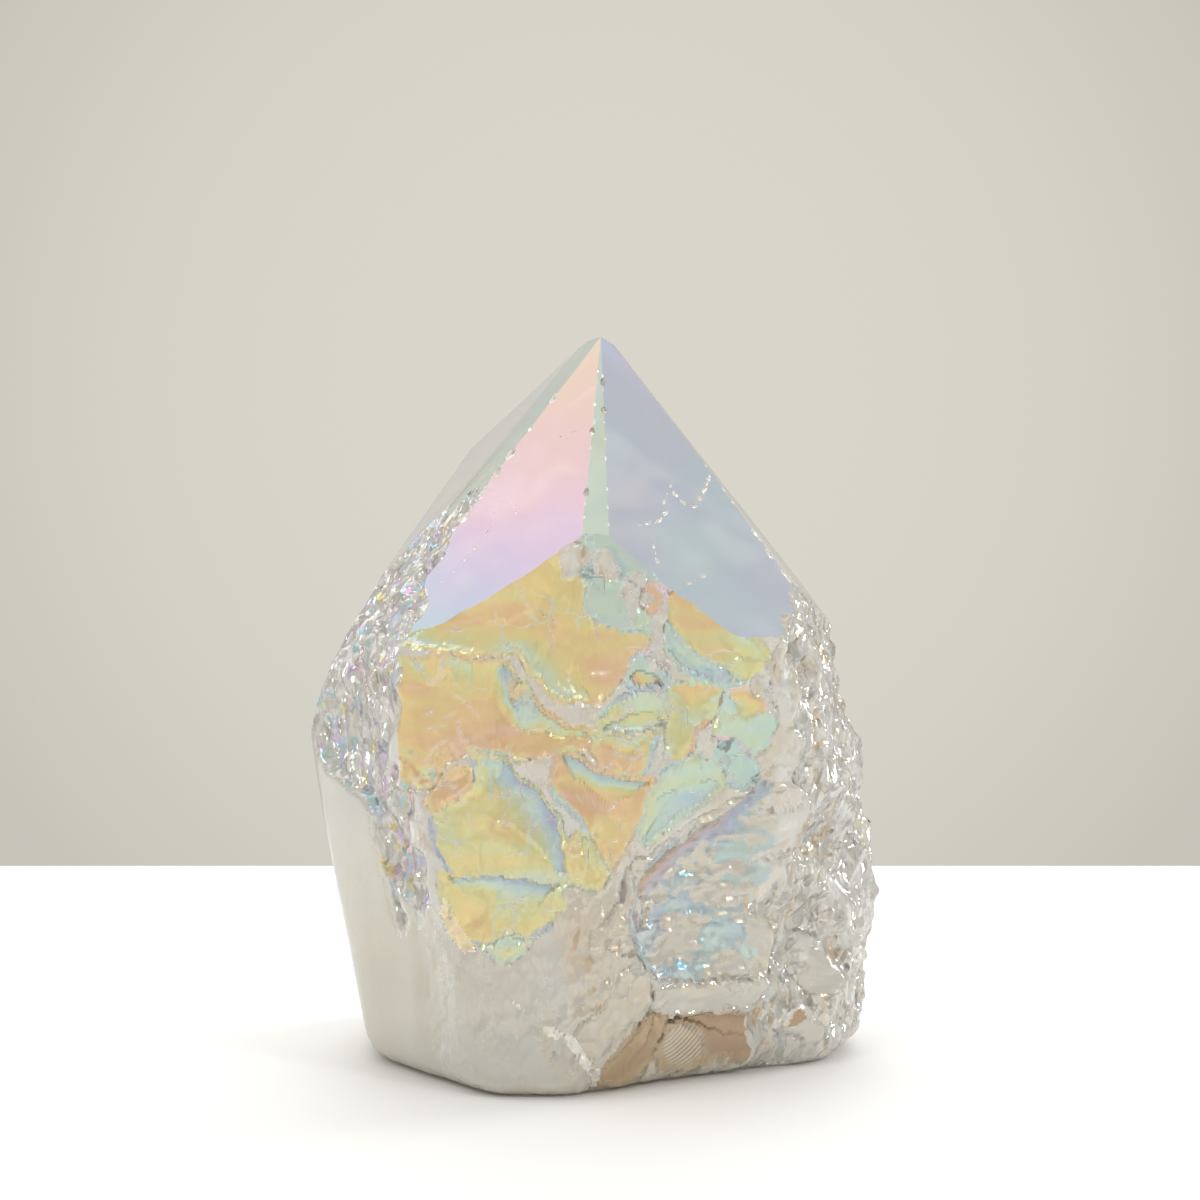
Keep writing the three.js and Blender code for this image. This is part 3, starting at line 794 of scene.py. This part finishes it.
# Freshly broken flakes on the left edge and by the foot, painted pale cream and white as highlights for
# the light they catch: (outline, film, frost)
GLINT_PAINTED_FLAKES = [
    ([(-21, 27.4), (-19.6, 24.6), (-16.6, 20), (-18.4, 19.8), (-20.4, 21.8), (-21.6, 24.6)], 202, 0.5),
    ([(-7.9, 9.9), (-6.2, 9.8), (-4.9, 9), (-6, 8.5), (-7.2, 9)], 66, 1),
    ([(-4.8, 9.4), (-3.2, 8.4), (-1.6, 5.4), (0.3, 2.2), (-0.9, 2.4), (-2.8, 5), (-4.4, 7.4)], 66, 1),
]
# Where the fan of ribs shows (x, z), and how far round
RIBS_AT, RIBS_REACH = (11.2, 5.7), 3.3


def read(collection, name, kind=float, width=1):
    values = np.empty(len(collection) * width, kind)
    collection.foreach_get(name, values)
    return values.reshape(-1, width) if width > 1 else values


mesh = stone.data
vertices = read(mesh.vertices, "co", width=3) / MM
normals = read(mesh.polygons, "normal", width=3)
centres = read(mesh.polygons, "center", width=3) / MM
corner_vertex = read(mesh.loops, "vertex_index", int)
loop_counts = read(mesh.polygons, "loop_total", int)
corner_face = np.repeat(np.arange(len(mesh.polygons)), loop_counts)
first_corner = np.concatenate([[0], np.cumsum(loop_counts)[:-1]])

# Each face is one of the polished ones, by its number, or one of these
BROKEN, SAWN, NICKED = -1, -2, -3
face_kind = np.full(len(mesh.polygons), BROKEN)
for index in range(len(POLISHED_FACES)):
    normal, out_to = face_plane(index)
    face_kind[(normals @ normal > 0.9999) & (np.abs(centres @ normal - out_to) < 0.02)] = index
face_kind[(normals[:, 2] < -0.999) & (centres[:, 2] < 0.01)] = SAWN
face_kind[read(mesh.polygons, "material_index", np.int32) == 1] = NICKED

v_turn = np.degrees(np.arctan2(vertices[:, 0], -vertices[:, 1]))
v_height = np.clip(vertices[:, 2], 0, ROUGH_TOP)
_, v_film, v_frost, v_grit = main_reach(v_turn, v_height)
v_rough = roughness_of(v_turn, vertices[:, 2])
flat_of_medium = chips(vertices * GRAIN_STRETCH, MEDIUM_SPLINTER, 31)[1]
flat_of_fine = chips(vertices * GRAIN_STRETCH, FINE_SPLINTER, 41)[1]

splintered = v_rough > 0.3
left_side = splintered & (v_turn < -30) & (v_turn > -150)
right_side = splintered & (v_turn > -25) & (v_turn < 130)


def flecks(films):
    """One of these films for each small facet."""
    return films[np.minimum((flat_of_fine * len(films)).astype(int), len(films) - 1)]


v_film = np.where(right_side, flecks(RIGHT_FLECKS), v_film)
v_film = np.where(left_side & (v_rough > 0.5), flecks(LEFT_FLECKS), v_film)
patchy = splintered & (np.abs(v_turn) < 50) & (v_rough < 0.6)
v_frost = np.where(left_side | right_side, 0.45 * flat_of_medium, v_frost)
v_frost = np.where(patchy, 0.6 + 0.4 * flat_of_medium, v_frost)
blank_x = blank_point(v_turn, v_height)[:, 0]
v_x, v_z, in_front = vertices[:, 0], vertices[:, 2], vertices[:, 1] < 0
# the smooth spots take a brown film: painted shade
for x, z, radius in BROWN_SHADE_SPOTS:
    within = (np.hypot(blank_x - x, v_z - z) < radius) & in_front
    v_film = np.where(within, BROWN_SHADE_FILM, v_film)
    v_frost = np.where(within, 0, v_frost)
# the flakes' film and frost paint in their glints as pale cream and white
v_glint_flake = np.zeros(len(vertices), bool)
for outline, flake_film, flake_frost in GLINT_PAINTED_FLAKES:
    within = (outline_distance(v_x, v_z, outline)[0] > 0) & in_front
    v_film = np.where(within, flake_film, v_film)
    v_frost = np.where(within, flake_frost, v_frost)
    v_glint_flake |= within
from_ribs = np.hypot(v_x - RIBS_AT[0], v_z - RIBS_AT[1])
v_ribs = np.where(in_front, smoothstep(RIBS_REACH - from_ribs, 0, 0.8), 0)
v_grit = np.where(v_glint_flake, 1, np.maximum(v_grit, smoothstep(v_rough, 0.2, 0.8)))

# the foot is frosted, and most of all its left side
low = 30 + 6 * swell(vertices, 8, 73) - v_z
bare_there = (v_turn > 64) | (v_turn < -46) | ((v_turn < -16) & (v_film < 90))
frosted_foot = ~splintered & (low > 0) & bare_there
v_film = np.where(frosted_foot, CREST_FILM, v_film)
v_frost = np.where(frosted_foot, np.maximum(v_frost, 0.8 * smoothstep(low, 0, 1.5)), v_frost)
left_side_face = (v_turn > -118) & ((v_turn < -60) | ((v_turn < -46) & (low > 0)))
left_foot = ~splintered & (v_z < 50) & left_side_face
v_film = np.where(left_foot, LEFT_FOOT_FILM + 16 * (swell(vertices, 9, 76) - 0.5), v_film)
foot_line = 18 + 8 * (swell(vertices, 7, 74) - 0.5)
v_frost = np.where(left_foot, 0.955 + 0.04 * smoothstep(foot_line - v_z, 0, 8), v_frost)

film = v_film[corner_vertex]
frost = v_frost[corner_vertex]
grit = v_grit[corner_vertex]
ribs = v_ribs[corner_vertex]
drift, growth = np.full(len(corner_vertex), 6.0), np.zeros(len(corner_vertex))
kind = face_kind[corner_face]
for index in range(len(POLISHED_FACES)):
    on = kind == index
    film[on] = POLISHED_FACES[index][3]
    frost[on] = MILKINESS.get(index, 0.1)
    drift[on] = FILM_DRIFT.get(index, 12)
growth[kind == FRONT_LEFT] = FILM_GROWTH
grit[kind >= 0] = 0
ribs[kind >= 0] = 0
film[kind == SAWN], frost[kind == SAWN] = SAWN_FILM, 1
# the nicks are frosted white: partly the frost of a fresh break, partly a painted glint
film[kind == NICKED], frost[kind == NICKED], grit[kind == NICKED] = NICK_GLINT_FILM, 0.9, 0.2
# the coating changes sharply from one break to the next, not by way of every colour between
highest, lowest = np.maximum.reduceat(film, first_corner), np.minimum.reduceat(film, first_corner)
middle = np.add.reduceat(film, first_corner) / loop_counts
mostly = np.where(2 * middle > highest + lowest, highest, lowest)
crisp = (highest - lowest > SHARP_CHANGE)[corner_face]
film[crisp] = mostly[corner_face][crisp]
fields = {"film": film, "frost": frost, "grit": grit, "drift": drift, "growth": growth, "ribs": ribs}
for name, values in fields.items():
    stored = mesh.attributes.new(name, "FLOAT", "CORNER")
    stored.data.foreach_set("value", values.astype(np.float32))

mesh.polygons.foreach_set("use_smooth", face_kind == BROKEN)
mesh.set_sharp_from_angle(angle=math.radians(SHARP_ANGLE))

# (film thickness, colour of the stone seen through it)
TINTS = [
    (40, (0.92, 0.92, 0.91)),
    (62, (0.92, 0.92, 0.91)),
    (90, (0.86, 0.83, 0.78)),
    (99, (0.60, 0.50, 0.34)),
    (112, (0.55, 0.44, 0.32)),
    (128, (0.76, 0.70, 0.70)),
    (144, (0.70, 0.69, 0.74)),
    (160, (0.71, 0.75, 0.76)),
    (174, (0.76, 0.86, 0.76)),
    (188, (0.80, 0.79, 0.47)),
    (200, (0.96, 0.82, 0.42)),
    (212, (0.95, 0.70, 0.40)),
    (224, (0.93, 0.90, 0.82)),
    (236, (0.93, 0.91, 0.91)),
    (250, (0.93, 0.89, 0.98)),
    (266, (0.84, 0.90, 0.98)),
    (290, (0.80, 0.92, 0.95)),
]

# The fan of ribs by the foot: its centre, and how close the ribs stand
RIB_CENTRE, RIB_SPACING = (6, 11.8), 0.52
# Small facets, hairline ridges and crumbs to a metre, and how far the facets and crumbs lean
FACETS, HAIRLINES, CRUMBS = 1150, 210, 2600
FACET_LEAN, CRUMB_LEAN = 1.25, 0.45
# How fine the film's drift, the shaking of lines and the patches of hairlines are, to a metre
DRIFT_NOISE, SHAKE_NOISE, PATCH_NOISE = 75, 260, 110
# The film's thickness in nanometres is this many times the value that TINTS goes by
FILM_SCALE, FILM_IOR, QUARTZ_IOR = 1.17, 1.95, 1.544
UPPER_FROST, LOWER_FROST = (0.90, 0.88, 0.86, 1), (0.87, 0.84, 0.76, 1)
ABSORPTION_COLOUR, ABSORPTION_DENSITY = (0.93, 0.90, 0.86, 1), 30


def aura_material(name, transmission, least_rough, frost_rough, hairline_share, broken=True):
    """Coated quartz. Ground and broken faces differ in how milky and how smooth they are."""
    material = bpy.data.materials.new(name)
    material.use_nodes = True
    tree = material.node_tree
    link = tree.links.new
    shader, output = tree.nodes["Principled BSDF"], tree.nodes["Material Output"]
    add, number, vector = partial(add_node, tree), partial(number_node, tree), partial(vector_node, tree)
    place = add("ShaderNodeTexCoord").outputs["Object"]

    def mix(factor, a, b):
        return add("ShaderNodeMix", {"Factor": factor, 6: a, 7: b}, data_type="RGBA").outputs[2]

    def attribute(name):
        return add("ShaderNodeAttribute", attribute_name=name).outputs["Fac"]

    def noise(scale, detail=1, at=place):
        return add("ShaderNodeTexNoise", {"Scale": scale, "Detail": detail, "Vector": at}).outputs

    def cells(scale, at, feature="F1"):
        return add("ShaderNodeTexVoronoi", {"Scale": scale, "Vector": at}, feature=feature).outputs

    height = add("ShaderNodeSeparateXYZ", {"Vector": place}).outputs["Z"]
    down = number("SUBTRACT", HEIGHT, number("MULTIPLY", height, 1 / MM))
    grown = number("MULTIPLY", attribute("growth"), number("MULTIPLY", down, down))
    wander = number("MULTIPLY_ADD", noise(DRIFT_NOISE)["Fac"], 2.0, -1.0)
    drift = number("MULTIPLY", attribute("drift"), wander)
    film = number("ADD", number("ADD", attribute("film"), grown), drift)
    first, last = TINTS[0][0], TINTS[-1][0]
    along_tints = number("DIVIDE", number("SUBTRACT", film, first), last - first, clamp=True)
    ramp = add("ShaderNodeValToRGB", {"Fac": along_tints})
    stops = ramp.color_ramp.elements
    while len(stops) > 1:
        stops.remove(stops[-1])
    for n, (thickness, colour) in enumerate(TINTS):
        stop = stops[0] if n == 0 else stops.new((thickness - first) / (last - first))
        stop.position = (thickness - first) / (last - first)
        stop.color = (*colour, 1)

    milky = attribute("frost")
    if broken:
        shaken = noise(SHAKE_NOISE)["Color"]
        if hairline_share:
            # hairline ridges in patches, where the film is worn off
            shake = vector("MULTIPLY", shaken, (0.004, 0.004, 0.004))
            network = cells(HAIRLINES, vector("ADD", place, shake), "DISTANCE_TO_EDGE")
            line = number("MULTIPLY_ADD", network["Distance"], -26.0, 1.0, clamp=True)
            patches = noise(PATCH_NOISE, 2, vector("ADD", place, (0.03, 0, 0)))["Fac"]
            patch = number("MULTIPLY_ADD", patches, 8.0, -4.2, clamp=True)
            bare = number("MULTIPLY", number("MULTIPLY", line, patch), hairline_share)
        else:
            # rings of fine ribs round the place where the blow fell
            centre = (RIB_CENTRE[0] * MM, 0, RIB_CENTRE[1] * MM)
            across = vector("MULTIPLY", place, (1, 0, 1))
            from_centre = vector("LENGTH", vector("SUBTRACT", across, centre))
            wave = number("SINE", number("MULTIPLY", from_centre, 2 * math.pi / (RIB_SPACING * MM)))
            crests = number("MULTIPLY_ADD", wave, 1.4, 0.3, clamp=True)
            bare = number("MULTIPLY", crests, attribute("ribs"))
        milky = number("MAXIMUM", milky, bare)
        film = number("MULTIPLY_ADD", bare, number("SUBTRACT", float(CREST_FILM), film), film)
    warmth = number("MULTIPLY_ADD", down, 0.03, -1.8, clamp=True)
    frost_colour = mix(warmth, UPPER_FROST, LOWER_FROST)
    link(mix(milky, ramp.outputs["Color"], frost_colour), shader.inputs["Base Color"])
    link(number("MULTIPLY", film, FILM_SCALE), shader.inputs["Thin Film Thickness"])
    shader.inputs["Thin Film IOR"].default_value = FILM_IOR
    shader.inputs["IOR"].default_value = QUARTZ_IOR
    shader.inputs["Transmission Weight"].default_value = transmission
    shader.inputs["Coat Weight"].default_value = 0.5
    shader.inputs["Coat Roughness"].default_value = 0.08
    roughness = number("MULTIPLY_ADD", milky, frost_rough, least_rough, clamp=True)
    link(roughness, shader.inputs["Roughness"])

    if broken:
        # every small facet of a splintered place leans its own way, and every crumb on it
        stretched = vector("MULTIPLY", place, (1, 1, 0.5))
        bent = vector("ADD", stretched, vector("MULTIPLY", shaken, (0.003, 0.003, 0.003)))
        rocky = attribute("grit")
        splintered = number("MULTIPLY_ADD", rocky, 2.6, -0.65, clamp=True)
        normal = add("ShaderNodeNewGeometry").outputs["Normal"]
        for scale, most, where in ((FACETS, FACET_LEAN, splintered), (CRUMBS, CRUMB_LEAN, rocky)):
            lean = vector("SUBTRACT", cells(scale, bent)["Color"], (0.5, 0.5, 0.5))
            normal = vector("ADD", normal, scaled_vector(tree, lean, number("MULTIPLY", where, most)))
        link(vector("NORMALIZE", normal), shader.inputs["Normal"])

    inside = {"Color": ABSORPTION_COLOUR, "Density": ABSORPTION_DENSITY}
    link(add("ShaderNodeVolumeAbsorption", inside).outputs["Volume"], output.inputs["Volume"])
    return material


CLEAR, FROSTED, COATED, POLISHED, PAINTED_GLINT = range(5)
CLEAR_FROM_ROUGHNESS, FROSTED_FROM, COATED_FROM_FILM = 0.6, 0.5, 140
# (name, transmission, roughness when clear, roughness that frost adds, share of hairlines, broken or not)
mesh.materials.clear()
for look in (
    ("clear_broken_quartz", 0.55, 0.05, 0.2, 0),
    ("frosted_quartz", 0.55, 0.16, 0.14, 0),
    ("coated_broken_quartz", 0.5, 0.14, 0.2, 0.9),
    ("polished_aura_quartz", 0.5, 0.2, 0, 0, False),
    # the pale, nearly opaque finish of the nicks and the glint flakes is a painted glint
    ("painted_glint_breaks", 0.2, 0.1, 0.05, 0),
):
    mesh.materials.append(aura_material(*look))
face_film = np.add.reduceat(film, first_corner) / loop_counts
face_frost = np.add.reduceat(frost, first_corner) / loop_counts
face_rough = np.add.reduceat(v_rough[corner_vertex], first_corner) / loop_counts
glint_flake_corners = np.add.reduceat(v_glint_flake[corner_vertex].astype(int), first_corner)
face_painted_glint = (glint_flake_corners > 1) | (face_kind == NICKED)
choices = {
    POLISHED: face_kind >= 0,
    PAINTED_GLINT: face_painted_glint,
    CLEAR: face_rough > CLEAR_FROM_ROUGHNESS,
    FROSTED: face_frost > FROSTED_FROM,
    COATED: face_film > COATED_FROM_FILM,
}
slots = np.select(list(choices.values()), list(choices), CLEAR)
mesh.polygons.foreach_set("material_index", slots.astype(np.int32))

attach(stone, "root")
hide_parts("quartz_point")


# ---- Table and light ----
# A white table with a plain beige wall far behind, lit by large soft boxes above, behind and at the
# sides, and by small ones that make the splinters sparkle.

TABLE_BACK, TABLE_WIDE, TABLE_DEEP, TABLE_THICK = 118.5 * MM, 3.0, 1.6, 30 * MM
bpy.ops.mesh.primitive_cube_add(size=1)
table = bpy.context.object
table.name = "table"
place_table = Matrix.Translation((0, TABLE_BACK - TABLE_DEEP / 2, -TABLE_THICK / 2))
table.data.transform(place_table @ Matrix.Diagonal((TABLE_WIDE, TABLE_DEEP, TABLE_THICK, 1)))
white = bpy.data.materials.new("white_table")
white.use_nodes = True
white_shader = white.node_tree.nodes["Principled BSDF"]
white_shader.inputs["Base Color"].default_value = (0.745, 0.742, 0.734, 1)
white_shader.inputs["Roughness"].default_value = 0.5
table.data.materials.append(white)

LIGHTS_AIM = Vector((0, 0, 50 * MM))
# (name, turn from the front, rise above the table, distance, wide, tall, power)
SOFT_BOXES = [
    ("overhead", 180, 76, 1.3, 1.1, 1.1, 8),
    ("back_box", 180, 38, 1.4, 1.4, 0.6, 5.5),
    ("left_spark", -38, 48, 1.2, 0.16, 0.16, 1.6),
    ("right_spark", 50, 40, 1.2, 0.16, 0.16, 2.4),
    ("right_back_spark", 116, 22, 1.3, 0.32, 0.32, 7),
    ("left_back_spark", -116, 12, 1.3, 0.3, 0.3, 1.7),
    ("left_box", -92, 50, 1.2, 0.9, 0.9, 2.5),
    ("right_box", 80, 54, 1.2, 0.9, 0.9, 0.25),
]
for name, turn, rise, distance, wide, tall, power in SOFT_BOXES:
    lamp = bpy.data.lights.new(name, "AREA")
    lamp.shape = "RECTANGLE"
    lamp.size, lamp.size_y = wide, tall
    lamp.energy = power
    light = bpy.data.objects.new(name, lamp)
    direction = Vector(facing(turn, rise).tolist())
    light.location = LIGHTS_AIM + direction * distance
    light.rotation_mode = "QUATERNION"
    light.rotation_quaternion = direction.to_track_quat("Z", "Y")
    bpy.context.collection.objects.link(light)

# The wall is brightest in the middle, and the room on the camera's side of the crystal is pale
WALL_MIDDLE, WALL_EDGE, ROOM = (0.69, 0.665, 0.597, 1), (0.545, 0.525, 0.47, 1), (0.75, 0.73, 0.71, 1)
WALL_REACH = math.radians(11)
room_look = CAMERA_PITCH - 0.05
world = bpy.data.worlds.new("room")
bpy.context.scene.world = world
world.use_nodes = True
tree = world.node_tree
around = add_node(tree, "ShaderNodeTexCoord").outputs["Generated"]
ahead = Vector((0, math.cos(room_look), -math.sin(room_look)))
near = {"Value": vector_node(tree, "DOT_PRODUCT", around, ahead)}
near |= {"From Min": math.cos(WALL_REACH), "From Max": 1}
near = add_node(tree, "ShaderNodeMapRange", near, interpolation_type="SMOOTHSTEP").outputs["Result"]
wall = {"Factor": near, 6: WALL_EDGE, 7: WALL_MIDDLE}
wall = add_node(tree, "ShaderNodeMix", wall, data_type="RGBA").outputs[2]
behind = {"Value": vector_node(tree, "DOT_PRODUCT", around, (0, -0.8, 0.6))}
behind |= {"From Min": 0.15, "From Max": 0.85}
behind = add_node(tree, "ShaderNodeMapRange", behind, interpolation_type="SMOOTHSTEP").outputs["Result"]
room = {"Factor": behind, 6: wall, 7: ROOM}
room = add_node(tree, "ShaderNodeMix", room, data_type="RGBA").outputs[2]
tree.links.new(room, tree.nodes["Background"].inputs["Color"])
bpy.context.scene.view_settings.view_transform = "Standard"

bpy.context.view_layer.update()
